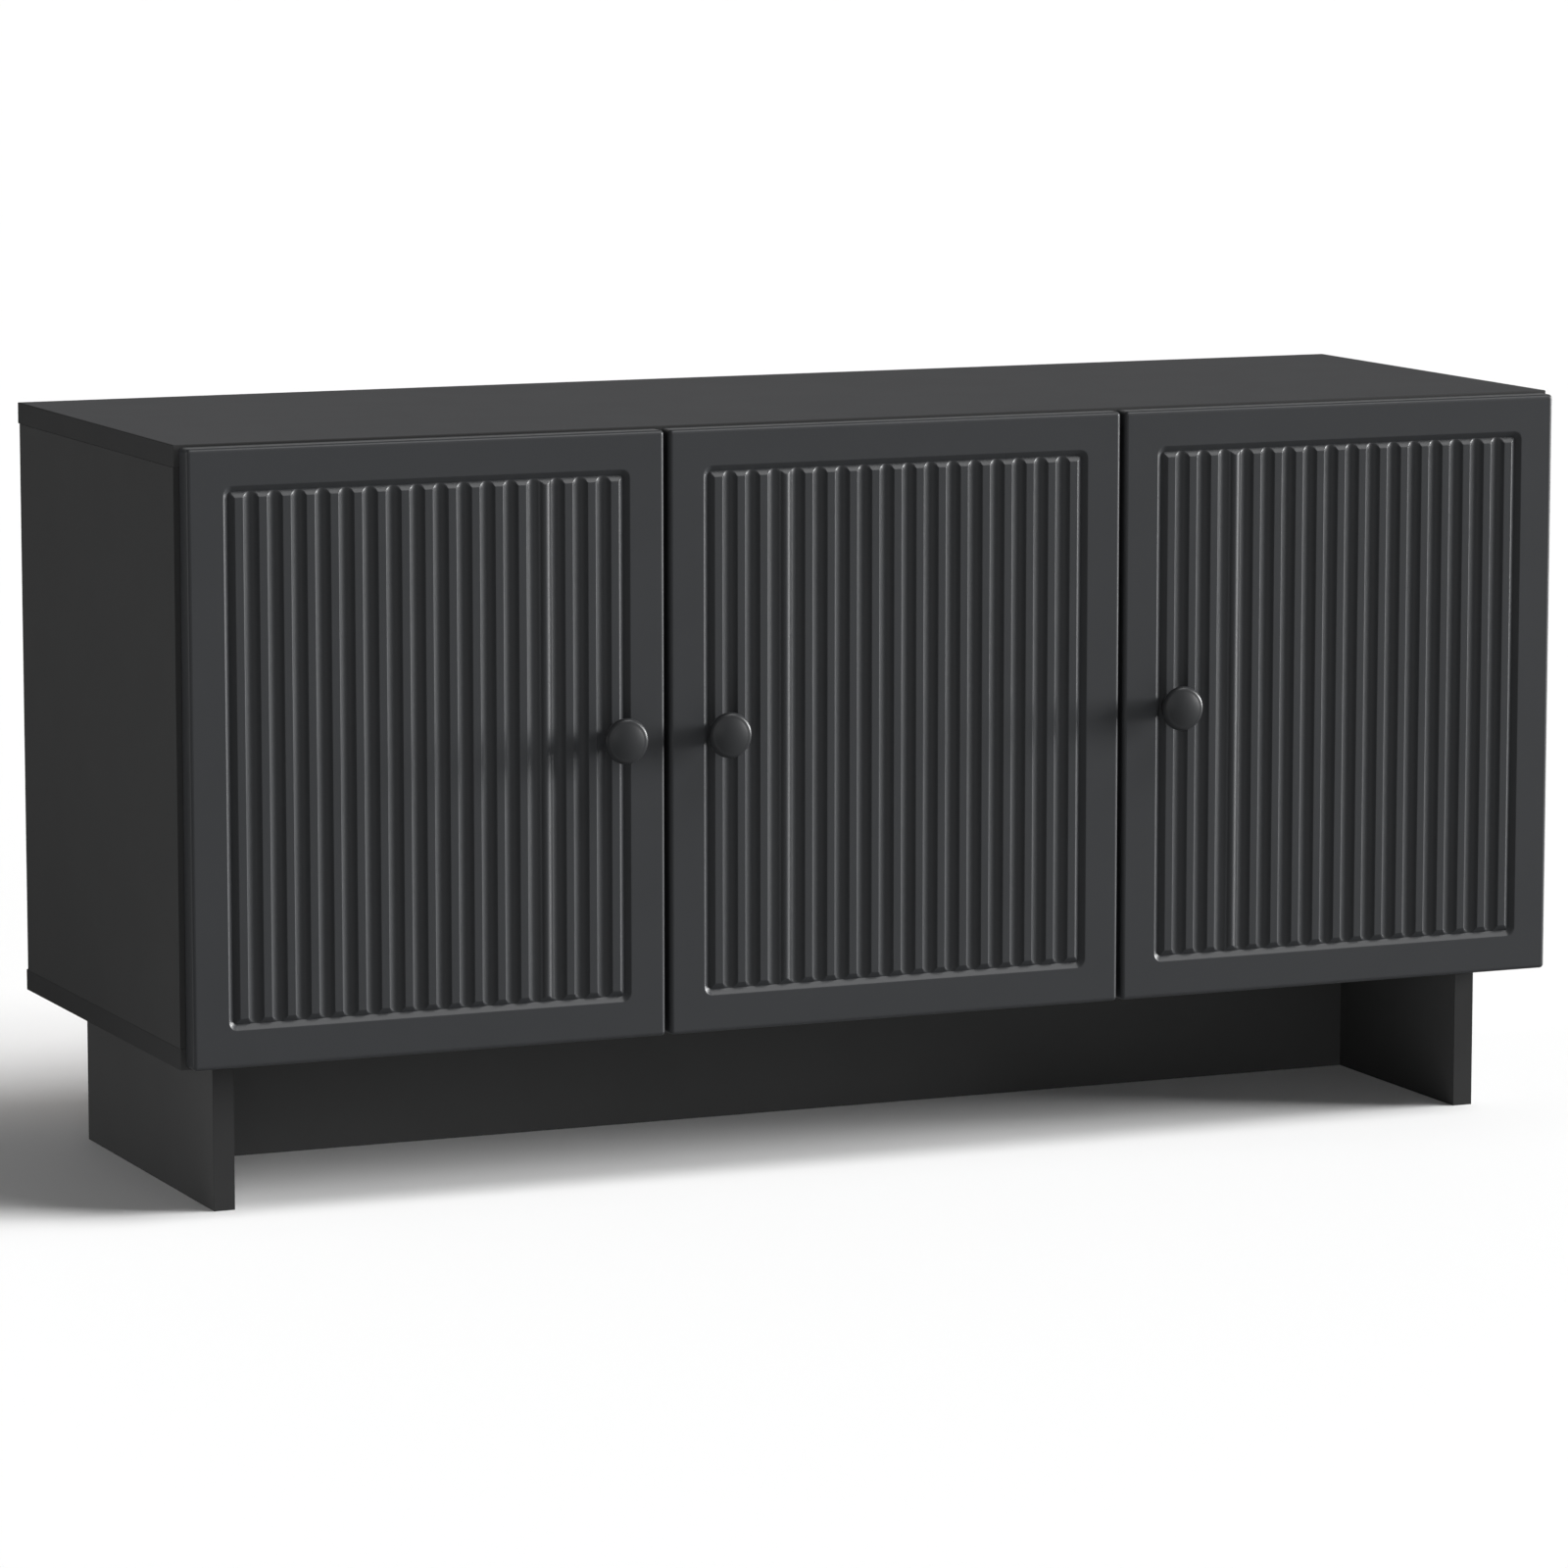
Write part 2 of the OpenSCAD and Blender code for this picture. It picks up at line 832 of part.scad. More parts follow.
// Goose-neck link: a bowed strap with an eye round the arm's pin and a rolled end in the cup
module hinge_link() {
    translate([0, 0, -link_half])
        linear_extrude(2 * link_half)
            difference() {
                union() {
                    intersection() {
                        difference() {
                            translate(bow_centre)
                                circle(bow_r + link_t / 2, $fn = 96);
                            translate(bow_centre)
                                circle(bow_r - link_t / 2, $fn = 96);
                        }
                        polygon([
                            bow_centre, polar(bow_centre, 2 * bow_r, link_angle - 90 - bow_half),
                            polar(bow_centre, 3 * bow_r, link_angle - 90 - bow_half / 2),
                            polar(bow_centre, 3 * bow_r, link_angle - 90 + bow_half / 2),
                            polar(bow_centre, 2 * bow_r, link_angle - 90 + bow_half)
                        ]);
                    }
                    translate(link_pin)
                        circle(link_eye);
                    translate(link_end)
                        circle(link_eye);
                }
                translate(link_pin)
                    circle(pin_r + pin_clear);
            }
}

module hinge_links(x, turned) {
    color(nickel)
        at_hinges(x, turned)
            hinge_link();
}

module left_hinge_links() {
    hinge_links(x_left_hinge, true);
}

module middle_hinge_links() {
    hinge_links(x_middle_hinge, false);
}

module right_hinge_links() {
    hinge_links(x_right_hinge, false);
}

// Channel-shaped arm: a web, two ears that reach into the cup, and the pin across them.
// cover is how far the door lies over the upright.
module hinge_arm(cover) {
    foot = -cover - plate_t;
    difference() {
        union() {
            for (s = [0, 1])
                mirror([0, 0, s])
                    translate([0, 0, ear_in])
                        linear_extrude(ear_out - ear_in) {
                            translate([arm_face, arm_y[0]])
                                square([foot - arm_face, arm_y[1] - arm_y[0]]);
                            polygon([
                                [arm_face + ear_rise, arm_y[0]], [link_pin[0] + ear_lead[0], ear_lead[1]],
                                [link_pin[0] - nose_r, link_pin[1]], [link_pin[0] + nose_r, link_pin[1]],
                                [foot, arm_y[0]]
                            ]);
                            translate(link_pin)
                                circle(nose_r, $fn = 32);
                        }
            translate([arm_face, arm_y[0], -ear_out])
                cube([arm_t, arm_y[1] - arm_y[0], 2 * ear_out]);
            translate([link_pin[0], link_pin[1], -ear_out])
                cylinder(r = pin_r, h = 2 * ear_out, $fn = 32);
        }
        translate([arm_face - 1, arm_screw_y, 0])
            rotate([0, 90, 0])
                cylinder(r = arm_screw_neck + 0.2, h = 4);
    }
}

module hinge_arms(x, turned, cover) {
    color(nickel)
        at_hinges(x, turned)
            hinge_arm(cover);
}

module left_hinge_arms() {
    hinge_arms(x_left_hinge, true, full_cover);
}

module middle_hinge_arms() {
    hinge_arms(x_middle_hinge, false, half_cover);
}

module right_hinge_arms() {
    hinge_arms(x_right_hinge, false, full_cover);
}

// Cross plate on the upright, with wings for its two screws and a block inside the arm
module hinge_plate(cover) {
    block_top = arm_face + arm_t;
    difference() {
        union() {
            translate([-cover - plate_t, plate_y[0], -plate_half])
                cube([plate_t, plate_y[1] - plate_y[0], 2 * plate_half]);
            translate([-cover, plate_screw_y, 0])
                rotate([0, -90, 0])
                    linear_extrude(plate_t) {
                        translate([-plate_screw_z, -wing_r])
                            square([2 * plate_screw_z, 2 * wing_r]);
                        for (s = [-1, 1])
                            translate([s * plate_screw_z, 0])
                                circle(wing_r);
                    }
            translate([block_top, plate_y[0] + block_in, -block_half])
                cube([-cover - plate_t - block_top, plate_y[1] - plate_y[0] - 2 * block_in, 2 * block_half]);
        }
        for (s = [-1, 1])
            translate([-cover - plate_t - 1, plate_screw_y, s * plate_screw_z])
                rotate([0, 90, 0])
                    cylinder(r = plate_screw_r + 0.2, h = plate_t + 2);
        translate([block_top - 1, arm_screw_y, 0])
            rotate([0, 90, 0])
                cylinder(r = arm_screw_r + fit, h = arm_screw_len + 0.5);
    }
}

module hinge_plates(x, turned, cover) {
    color(nickel)
        at_hinges(x, turned)
            hinge_plate(cover);
}

module left_hinge_plates() {
    hinge_plates(x_left_hinge, true, full_cover);
}

module middle_hinge_plates() {
    hinge_plates(x_middle_hinge, false, half_cover);
}

module right_hinge_plates() {
    hinge_plates(x_right_hinge, false, full_cover);
}

// Wood screws of the hinge plates
module plate_screws(x, turned, cover) {
    color(nickel)
        at_hinges(x, turned)
            for (s = [-1, 1])
                translate([-cover - plate_t, plate_screw_y, s * plate_screw_z])
                    rotate([0, 90, 0])
                        rotate_extrude()
                            polygon([
                                [0, -1.4], [2.6, -1.4], [3.4, 0],
                                [plate_screw_r, 0], [plate_screw_r, plate_pilot], [0, plate_pilot + 1.5]
                            ]);
}

module left_plate_screws() {
    plate_screws(x_left_hinge, true, full_cover);
}

module middle_plate_screws() {
    plate_screws(x_middle_hinge, false, half_cover);
}

module right_plate_screws() {
    plate_screws(x_right_hinge, false, full_cover);
}

// Machine screws that hold the arms on their plates
module arm_screws(x, turned) {
    color(nickel)
        at_hinges(x, turned)
            translate([arm_face, arm_screw_y, 0])
                rotate([0, 90, 0])
                    difference() {
                        rotate_extrude()
                            polygon([
                                [0, -1.6], [4, -1.6], [4.4, 0], [arm_screw_neck, 0], [arm_screw_neck, arm_t],
                                [arm_screw_r, arm_t], [arm_screw_r, arm_screw_len], [0, arm_screw_len]
                            ]);
                        for (a = [0, 90])
                            rotate(a)
                                translate([-3, -0.5, -2])
                                    cube([6, 1, 1.2]);
                    }
}

module left_arm_screws() {
    arm_screws(x_left_hinge, true);
}

module middle_arm_screws() {
    arm_screws(x_middle_hinge, false);
}

module right_arm_screws() {
    arm_screws(x_right_hinge, false);
}

top_panel();
bottom_panel();
left_side();
right_side();
divider();
wide_shelf();
narrow_shelf();
shelf_pins();
wide_back();
narrow_back();
back_nails();
plinth_left();
plinth_right();
plinth_rail();
cam_locks();
cam_bolts();
dowels();
left_door();
left_knob();
left_knob_screw();
left_bumpers();
left_hinge_cups();
left_cup_screws();
left_hinge_links();
left_hinge_arms();
left_hinge_plates();
left_plate_screws();
left_arm_screws();
middle_door();
middle_knob();
middle_knob_screw();
middle_bumpers();
middle_hinge_cups();
middle_cup_screws();
middle_hinge_links();
middle_hinge_arms();
middle_hinge_plates();
middle_plate_screws();
middle_arm_screws();
right_door();
right_knob();
right_knob_screw();
right_bumpers();
right_hinge_cups();
right_cup_screws();
right_hinge_links();
right_hinge_arms();
right_hinge_plates();
right_plate_screws();
right_arm_screws();
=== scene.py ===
import math

import bmesh
import bpy
import numpy as np
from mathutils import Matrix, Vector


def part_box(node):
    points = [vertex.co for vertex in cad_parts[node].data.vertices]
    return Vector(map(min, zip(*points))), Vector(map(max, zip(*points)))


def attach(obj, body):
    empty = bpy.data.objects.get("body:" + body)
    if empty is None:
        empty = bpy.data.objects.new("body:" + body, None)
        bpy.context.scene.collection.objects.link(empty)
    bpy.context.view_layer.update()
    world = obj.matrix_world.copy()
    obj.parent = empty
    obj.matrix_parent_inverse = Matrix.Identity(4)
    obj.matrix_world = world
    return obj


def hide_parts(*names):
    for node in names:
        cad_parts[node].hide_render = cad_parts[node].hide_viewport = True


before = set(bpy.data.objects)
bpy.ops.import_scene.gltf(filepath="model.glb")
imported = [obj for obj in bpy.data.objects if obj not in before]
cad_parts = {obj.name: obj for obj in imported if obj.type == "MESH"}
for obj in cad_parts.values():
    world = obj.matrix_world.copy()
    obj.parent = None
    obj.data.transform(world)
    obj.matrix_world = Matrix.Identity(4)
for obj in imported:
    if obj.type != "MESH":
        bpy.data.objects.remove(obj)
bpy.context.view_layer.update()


# ---- Camera --------------------------------------------------------------------------------
# A long lens nearly five metres off, a little above the top of the sideboard and left of its
# middle. It looks down by eight degrees, so no lens shift is needed.
CAMERA_PLACE = (-1.9872, -4.5576, 0.9725)
CAMERA_TURN = math.radians(23.422)
CAMERA_DIP = math.radians(8.269)
CAMERA_LENS = 160.84

camera_data = bpy.data.cameras.new("camera")
camera_data.lens = CAMERA_LENS
camera_data.sensor_width = 36
camera_data.clip_start = 0.1
camera_data.clip_end = 200
camera = bpy.data.objects.new("camera", camera_data)
camera.location = CAMERA_PLACE
camera.rotation_euler = (math.pi / 2 - CAMERA_DIP, 0, -CAMERA_TURN)
bpy.context.scene.collection.objects.link(camera)
bpy.context.scene.camera = camera


# ---- Studio --------------------------------------------------------------------------------
# A wide pale floor in a white room. A broad lamp hangs overhead, and two stand low and far off
# on the right, so that light rakes across the doors. Weaker ones fill from the front and the
# left, and one behind skims the upper edges.
FLOOR_HALF = 60.0
FLOOR_WHITE = 0.84
ROOM_LIGHT = 0.15
SHARP_EDGE = math.radians(30)
# Each lamp: degrees right of the front, degrees up, strength, and its width in degrees
LAMPS = [
    ("overhead", 48, 58, 1.8, 24),
    ("side_key", 66, 14, 3.6, 20),
    ("low_key", 82, 5, 8.0, 18),
    ("fill", -15, 12, 0.45, 30),
    ("left", -95, 5, 1.0, 8),
    ("behind", 157, 9, 0.18, 40),
]

bpy.context.scene.view_settings.view_transform = "Standard"
world = bpy.data.worlds.new("studio")
bpy.context.scene.world = world
world.use_nodes = True
room = world.node_tree
background = room.nodes["Background"]
background.inputs["Color"].default_value = (1, 1, 1, 1)
# The room looks white to the camera, and lights the sideboard by ROOM_LIGHT
seen = room.nodes.new("ShaderNodeLightPath").outputs["Is Camera Ray"]
white = room.nodes.new("ShaderNodeMapRange")
white.inputs["To Min"].default_value = ROOM_LIGHT
white.inputs["To Max"].default_value = 1
room.links.new(seen, white.inputs["Value"])
room.links.new(white.outputs["Result"], background.inputs["Strength"])

for name, right_of_front, height, strength, width in LAMPS:
    lamp = bpy.data.lights.new(name, "SUN")
    lamp.energy = strength
    lamp.angle = math.radians(width)
    lamp_object = bpy.data.objects.new(name, lamp)
    lamp_object.rotation_euler = (math.radians(90 - height), 0, math.radians(right_of_front))
    bpy.context.scene.collection.objects.link(lamp_object)


def new_finish(name, colour, roughness, specular=0.5, metallic=0.0):
    """A material with one Principled shader. Constants sit on the shader's own sockets."""
    material = bpy.data.materials.new(name)
    material.use_nodes = True
    shader = material.node_tree.nodes["Principled BSDF"]
    shader.inputs["Base Color"].default_value = (*colour, 1)
    shader.inputs["Roughness"].default_value = roughness
    shader.inputs["Specular IOR Level"].default_value = specular
    shader.inputs["Metallic"].default_value = metallic
    return material, material.node_tree.nodes, material.node_tree.links, shader


def new_piece(name, vertices, faces, materials, face_material=None):
    """A mesh object at the origin from whole arrays: faces is a list of index tuples, and
    face_material says which material each of them takes."""
    mesh = bpy.data.meshes.new(name)
    mesh.from_pydata(vertices.tolist(), [], faces)
    for material in materials:
        mesh.materials.append(material)
    if face_material is not None:
        mesh.polygons.foreach_set("material_index", face_material)
    mesh.shade_smooth()
    mesh.set_sharp_from_angle(angle=SHARP_EDGE)
    mesh.validate()
    piece = bpy.data.objects.new(name, mesh)
    bpy.context.scene.collection.objects.link(piece)
    return piece


floor_finish = new_finish("studio_floor", (FLOOR_WHITE,) * 3, roughness=0.9, specular=0.1)[0]
floor_corners = np.array([(-1, -1, 0), (1, -1, 0), (1, 1, 0), (-1, 1, 0)], float) * FLOOR_HALF
floor = new_piece("studio_floor", floor_corners, [(0, 1, 2, 3)], [floor_finish])
# Gloss doesn't mirror the floor, which would whiten the door edges and the shaded flute walls
floor.visible_glossy = False


# ---- Top and bottom boards -----------------------------------------------------------------
# Two chipboard panels, faced on both sides with matte anthracite melamine and banded on all
# four edges with a slightly darker strip. They run the full length and depth of the carcass.
MELAMINE = (0.0585, 0.059, 0.0605)
BAND = (0.032, 0.0322, 0.0324)
DRIFTS_PER_METRE = 22
MELAMINE_MOTTLE = 0.02
MELAMINE_GRAIN = 0.0009
MELAMINE_RELIEF = 0.00001
BOARD_EASE = 0.0006
BOARD_EASE_STEPS = 3
BOARD_HOLD = 0.0004


def add_grain(nodes, links, shader, colour, mottle, grain_size, grain_height):
    """Colour drifts by `mottle` over a few centimetres, and a fine isotropic emboss, grain_size
    metres across and grain_height metres high, bumps the surface."""
    place = nodes.new("ShaderNodeTexCoord").outputs["Object"]
    drift = nodes.new("ShaderNodeTexNoise")
    drift.inputs["Scale"].default_value = DRIFTS_PER_METRE
    drift.inputs["Detail"].default_value = 4
    links.new(place, drift.inputs["Vector"])
    ramp = nodes.new("ShaderNodeValToRGB")
    ramp.color_ramp.elements[0].position = 0.3
    ramp.color_ramp.elements[1].position = 0.7
    ramp.color_ramp.elements[0].color = (*(c * (1 - mottle) for c in colour), 1)
    ramp.color_ramp.elements[1].color = (*(c * (1 + mottle) for c in colour), 1)
    links.new(drift.outputs["Fac"], ramp.inputs["Fac"])
    links.new(ramp.outputs["Color"], shader.inputs["Base Color"])
    grain = nodes.new("ShaderNodeTexNoise")
    grain.inputs["Scale"].default_value = 1 / grain_size
    grain.inputs["Detail"].default_value = 3
    links.new(place, grain.inputs["Vector"])
    bump = nodes.new("ShaderNodeBump")
    bump.inputs["Distance"].default_value = grain_height
    bump.inputs["Strength"].default_value = 1
    links.new(grain.outputs["Fac"], bump.inputs["Height"])
    links.new(bump.outputs["Normal"], shader.inputs["Normal"])
    return grain


def melamine(name, colour, roughness=0.4):
    """Printed paper under resin: an even tone with a very shallow emboss and no clear gloss."""
    material, nodes, links, shader = new_finish(name, colour, roughness, specular=0)
    add_grain(nodes, links, shader, colour, MELAMINE_MOTTLE, MELAMINE_GRAIN, MELAMINE_RELIEF)
    return material


face_melamine = melamine("face_melamine", MELAMINE)
edge_band = melamine("edge_band", BAND, roughness=0.45)


def board_shell(low, high):
    """A closed board between two corners, lying flat. Round its faces runs a rim: the upper
    face's corner points pushed outwards along a quarter circle of radius BOARD_EASE, down the
    edge and in again. A ring BOARD_HOLD from each curve keeps the flats flat. Returns vertices,
    faces, and 1 for each rim face."""
    low, high = np.array(low, float), np.array(high, float)
    turn = np.linspace(0, np.pi / 2, BOARD_EASE_STEPS + 1)
    corner = np.repeat(np.arange(4), BOARD_EASE_STEPS + 1)
    angle = corner * np.pi / 2 + np.tile(turn, 4) - np.pi
    right = np.array([0, 1, 1, 0])[corner]
    rear = np.array([0, 0, 1, 1])[corner]
    inner_x = np.where(right, high[0] - BOARD_EASE, low[0] + BOARD_EASE)
    inner_y = np.where(rear, high[1] - BOARD_EASE, low[1] + BOARD_EASE)
    push = np.concatenate([[-BOARD_HOLD], BOARD_EASE * np.sin(turn), [BOARD_EASE]])
    drop = np.concatenate([[0], BOARD_EASE - BOARD_EASE * np.cos(turn), [BOARD_EASE + BOARD_HOLD]])
    out = np.concatenate([push, push[::-1]])[:, None]
    level = np.concatenate([high[2] - drop, low[2] + drop[::-1]])
    rings, around = len(out), len(corner)
    grid = np.zeros((rings, around, 3))
    grid[..., 0] = inner_x + out * np.where(out < 0, 2 * right - 1, np.cos(angle))
    grid[..., 1] = inner_y + out * np.where(out < 0, 2 * rear - 1, np.sin(angle))
    grid[..., 2] = level[:, None]
    index = np.arange(rings * around).reshape(rings, around)
    after = np.roll(index, -1, 1)
    rim = np.stack([index[:-1], index[1:], after[1:], after[:-1]], -1).reshape(-1, 4)
    every_corner = slice(None, None, BOARD_EASE_STEPS + 1)
    upper, lower = index[0, every_corner], index[-1, every_corner][::-1]
    faces = [tuple(f) for f in rim.tolist()] + [tuple(upper.tolist()), tuple(lower.tolist())]
    return grid.reshape(-1, 3), faces, [1] * len(rim) + [0, 0]


def weld(piece):
    """Joins the repeated points of a shell's seams and poles and drops the empty faces there."""
    shell = bmesh.new()
    shell.from_mesh(piece.data)
    bmesh.ops.remove_doubles(shell, verts=shell.verts, dist=1e-7)
    bmesh.ops.dissolve_degenerate(shell, edges=shell.edges, dist=1e-8)
    shell.to_mesh(piece.data)
    shell.free()
    piece.data.set_sharp_from_angle(angle=SHARP_EDGE)


def flat_board(node):
    """An eased and banded board in the place of a node of the frame."""
    low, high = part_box(node)
    vertices, faces, banded = board_shell(low, high)
    piece = new_piece(node + "_board", vertices, faces, [face_melamine, edge_band], banded)
    weld(piece)
    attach(piece, "carcass")
    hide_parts(node)


for node in ("top_panel", "bottom_panel"):
    flat_board(node)


# ---- Uprights ------------------------------------------------------------------------------
# Two sides and a divider of the same board, drilled for shelf pins, cams and hinge plates.
# They stand between the top and the bottom, held by cams and dowels, with their front and
# rear edges banded.
# The uprights' melamine is set darker than the top board's, though it is the same board: painted
# shade on the sides.
UPRIGHT_SHADED_MELAMINE = (0.0385, 0.0388, 0.0388)
BAND_THICKNESS = 0.0006


def repaint(node, finish):
    """Gives a node of the frame its finish and leaves its mesh alone."""
    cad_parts[node].data.materials.clear()
    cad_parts[node].data.materials.append(finish)


def tint_input(shader):
    """What feeds the shader's colour now, so that a further layer can go between."""
    return shader.inputs["Base Color"].links[0].from_socket


def banded_melamine(name, colour, band, front, back):
    """Melamine whose front and back edges, at y = front and y = back, carry a thin glued strip
    of their own tone. The strip also shows as a fine line on the faces beside it."""
    material = melamine(name, colour)
    nodes, links = material.node_tree.nodes, material.node_tree.links
    shader = nodes["Principled BSDF"]
    place = nodes.new("ShaderNodeSeparateXYZ")
    links.new(nodes.new("ShaderNodeTexCoord").outputs["Object"], place.inputs["Vector"])
    off_band = nodes.new("ShaderNodeMath")
    off_band.operation = "COMPARE"
    off_band.inputs[1].default_value = (front + back) / 2
    off_band.inputs[2].default_value = (back - front) / 2 - BAND_THICKNESS
    links.new(place.outputs["Y"], off_band.inputs[0])
    strip = nodes.new("ShaderNodeMix")
    strip.data_type = "RGBA"
    strip.inputs["A"].default_value = (*band, 1)
    links.new(off_band.outputs["Value"], strip.inputs["Factor"])
    links.new(tint_input(shader), strip.inputs["B"])
    links.new(strip.outputs["Result"], shader.inputs["Base Color"])
    return material


# The uprights take the darker copy of the melamine, which paints shade on them.
low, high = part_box("left_side")
upright_shaded_melamine = banded_melamine("upright_shaded_melamine", UPRIGHT_SHADED_MELAMINE, BAND, low.y, high.y)
for node in ("left_side", "right_side", "divider"):
    repaint(node, upright_shaded_melamine)


# ---- Shelves -------------------------------------------------------------------------------
# Two loose boards of the same stuff, banded all round, one in each bay. Each lies on four
# steel pegs, a little shorter than its bay and set back from the doors.
for node in ("wide_shelf", "narrow_shelf"):
    flat_board(node)


# ---- Plinth --------------------------------------------------------------------------------
# Two fore-and-aft boards and a long cross rail between them, all standing on the floor. The
# side boards are fixed under the carcass by a cam at the rear and a dowel at the front, and
# their front edges carry a darker band.
# The plinth boards' melamine is set lighter than the uprights': painted light that offsets the
# floor's shadow on the plinth sides.
PLINTH_LIT_MELAMINE = (0.056, 0.0563, 0.0563)
PLINTH_BAND = (0.0262, 0.0264, 0.0266)
RAIL_MELAMINE = (0.058, 0.0583, 0.0583)

# Both plinth side boards take the lighter copy of the melamine, which paints light on them.
low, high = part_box("plinth_left")
plinth_lit_melamine = banded_melamine("plinth_lit_melamine", PLINTH_LIT_MELAMINE, PLINTH_BAND, low.y, high.y)
repaint("plinth_left", plinth_lit_melamine)
repaint("plinth_right", plinth_lit_melamine)
repaint("plinth_rail", melamine("rail_melamine", RAIL_MELAMINE))


# ---- Back ----------------------------------------------------------------------------------
# Two sheets of 3 mm hardboard, raw and brown, that meet on the divider. Small nails fix them to
# the rear edges of the uprights, behind which the top and bottom boards stand proud.
HARDBOARD = (0.25, 0.155, 0.083)
HARDBOARD_MOTTLE = 0.045
FIBRE_SIZE = 0.0035
FIBRE_RELIEF = 0.00006
FIBRE_BEND = 1.6
FLECK_SHADE = (0.66, 0.62, 0.58)
FLECK_DARKEST = 0.34
FLECK_GONE = 0.54


def hardboard_skin():
    """Pressed brown fibre: a fine noise, bent by its own distortion, gives dark flecks where it
    is low and the relief of the fibres, over a faint drift of tone."""
    material, nodes, links, shader = new_finish(
        "raw_hardboard", HARDBOARD, roughness=0.75, specular=0.25)
    grain = add_grain(nodes, links, shader, HARDBOARD, HARDBOARD_MOTTLE, FIBRE_SIZE, FIBRE_RELIEF)
    grain.inputs["Distortion"].default_value = FIBRE_BEND
    flecks = nodes.new("ShaderNodeValToRGB")
    flecks.color_ramp.elements[0].position = FLECK_DARKEST
    flecks.color_ramp.elements[1].position = FLECK_GONE
    flecks.color_ramp.elements[0].color = (*FLECK_SHADE, 1)
    flecks.color_ramp.elements[1].color = (1, 1, 1, 1)
    links.new(grain.outputs["Fac"], flecks.inputs["Fac"])
    speckled = nodes.new("ShaderNodeMix")
    speckled.data_type = "RGBA"
    speckled.blend_type = "MULTIPLY"
    speckled.inputs["Factor"].default_value = 1
    links.new(tint_input(shader), speckled.inputs["A"])
    links.new(flecks.outputs["Color"], speckled.inputs["B"])
    links.new(speckled.outputs["Result"], shader.inputs["Base Color"])
    return material


raw_hardboard = hardboard_skin()
for node in ("wide_back", "narrow_back"):
    repaint(node, raw_hardboard)


# ---- Doors ---------------------------------------------------------------------------------
# Three fibreboard leaves under matte anthracite foil. A cutter has left a plain frame, a
# mitred V-groove round the field, and upright flutes with flat lands between them.
DOOR_FOIL = (0.0232, 0.0243, 0.0260)
FOIL_MOTTLE = 0.02
FOIL_PEBBLE = 0.0006
FOIL_RELIEF = 0.000006
FRAME_WIDTH = 0.0255
VEE_WIDTH = 0.008
VEE_DEPTH = 0.003
VEE_CORNER = 0.0065
VEE_LINE_GAP = 0.0005
LAND_WIDTH = 0.006
FLUTE_WIDTH = 0.01085
FLUTE_DEPTH = 0.003
FLUTE_LINES = 15
LEVELS_UP_FLUTES = 8
LIP = 0.00035
HOLD = 0.00015
DOOR_ROUND = 0.0028
DOOR_ROUND_STEPS = 6
DOOR_BACK_EASE = 0.0004
CREST_LAND = 4
CREST_CURVE = 140.0
CREST_LIMIT = 0.0016
CREST_HALF = 0.0026
CREST_LINES = 9
CREST_REACH = LAND_WIDTH * 0.75
CUP_RADIUS = 0.01755
CUP_DEPTH = 0.00935
CUP_EDGE = 0.0215
HINGE_INSET = 0.090
CUTTER_SIDES = 48
CUTTER_OVERSHOOT = 0.002


def foil():
    """Thin matte foil: an even tone with a very fine pebble, a little smoother than melamine."""
    material, nodes, links, shader = new_finish(
        "door_foil", DOOR_FOIL, roughness=0.38, specular=0.17)
    add_grain(nodes, links, shader, DOOR_FOIL, FOIL_MOTTLE, FOIL_PEBBLE, FOIL_RELIEF)
    return material


def lipped(depth):
    """Rounds where a cut starts: zero, then a parabola over LIP either side, then the cut."""
    curve = (depth + LIP) ** 2 / (4 * LIP)
    return np.where(depth <= -LIP, 0, np.where(depth >= LIP, depth, curve))


def vee_lines():
    """Where grid lines cross the V-groove, from its outer lip inwards. The first and last lines
    of a lip stand HOLD clear of the curve, and keep the flats beside it flat."""
    lip = np.concatenate([[-LIP - HOLD], np.array([-2, -1, 0, 1, 2]) * LIP / 2, [LIP + HOLD]])
    inside = np.arange(2 * VEE_LINE_GAP, VEE_WIDTH - VEE_LINE_GAP, VEE_LINE_GAP)
    return np.concatenate([lip, inside, VEE_WIDTH + lip])


def flute_columns(width):
    """Columns across the field, as places from one edge of the leaf and depths. A flute is a
    circular arc as wide as FLUTE_WIDTH spread evenly, and its two lips are small curves."""
    start = FRAME_WIDTH + VEE_WIDTH
    field = width - 2 * start
    count = round((field - LAND_WIDTH) / (LAND_WIDTH + FLUTE_WIDTH))
    half = (field - (count + 1) * LAND_WIDTH) / count / 2
    radius = (half ** 2 + FLUTE_DEPTH ** 2) / (2 * FLUTE_DEPTH)
    reach = math.asin(half / radius)
    angle = np.linspace(-reach, reach, FLUTE_LINES)
    across, deep = radius * np.sin(angle), radius * np.cos(angle) - radius + FLUTE_DEPTH
    along = np.array([0.25, 0.5, 0.75])
    lip_end = (across[1] + half, deep[1])
    ease = LIP * (1 - along) ** 2
    lip_across = -half - ease + along ** 2 * lip_end[0]
    lip_deep = along ** 2 * lip_end[1]
    edge = np.array([-half - LIP - HOLD, -half - LIP])
    across = np.concatenate([edge, lip_across, across[1:-1], -lip_across[::-1], -edge[::-1]])
    deep = np.concatenate([[0, 0], lip_deep, deep[1:-1], lip_deep[::-1], [0, 0]])
    pitch = LAND_WIDTH + 2 * half
    centres = start + LAND_WIDTH + half + pitch * np.arange(count)
    return (centres[:, None] + across).ravel(), np.tile(deep, count), pitch


